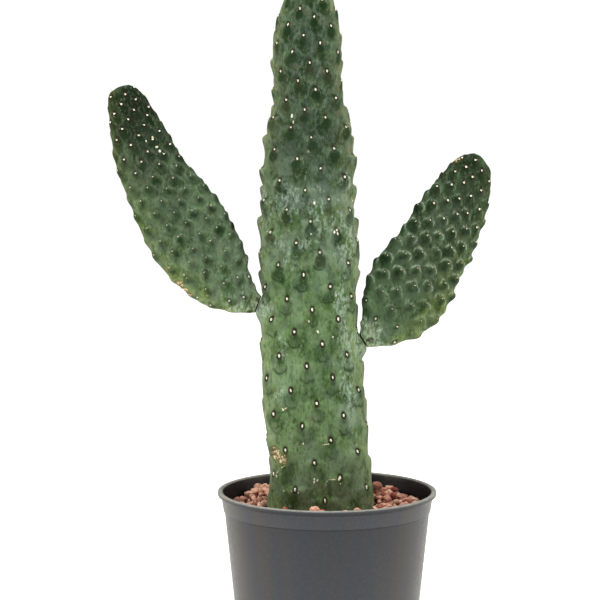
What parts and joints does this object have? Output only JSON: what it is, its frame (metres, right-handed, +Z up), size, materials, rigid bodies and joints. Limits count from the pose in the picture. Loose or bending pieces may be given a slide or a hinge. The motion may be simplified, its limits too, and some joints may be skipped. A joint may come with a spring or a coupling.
{
  "type": "potted cactus",
  "caption": "Tall flattened cactus with knobby tubercles and two side pads, standing in a round nursery pot topped with lava gravel.",
  "frame": {"origin": "middle of the pot's underside, on the surface that the pot stands on", "axes": "+Z up along the pot's axis; the plant's broad face looks along -Y; +X is to the right of someone who looks at that face"},
  "size_m": [0.2946, 0.17, 0.5365],
  "materials": {
    "pot": "grey moulded nursery plastic, satin",
    "soil": "dark crumbly bark and peat mix",
    "gravel": "rough red-brown lava gravel",
    "trunk": "waxy grey-green cactus skin with cream areoles",
    "pad_left": "waxy dark green cactus skin with cream areoles",
    "pad_right": "waxy dark green cactus skin with cream areoles"
  },
  "bodies": {
    "root": {"pot": "pot", "soil": "soil", "gravel": "gravel", "trunk": "trunk", "pad_left": "pad_left", "pad_right": "pad_right"}
  },
  "joints": []
}
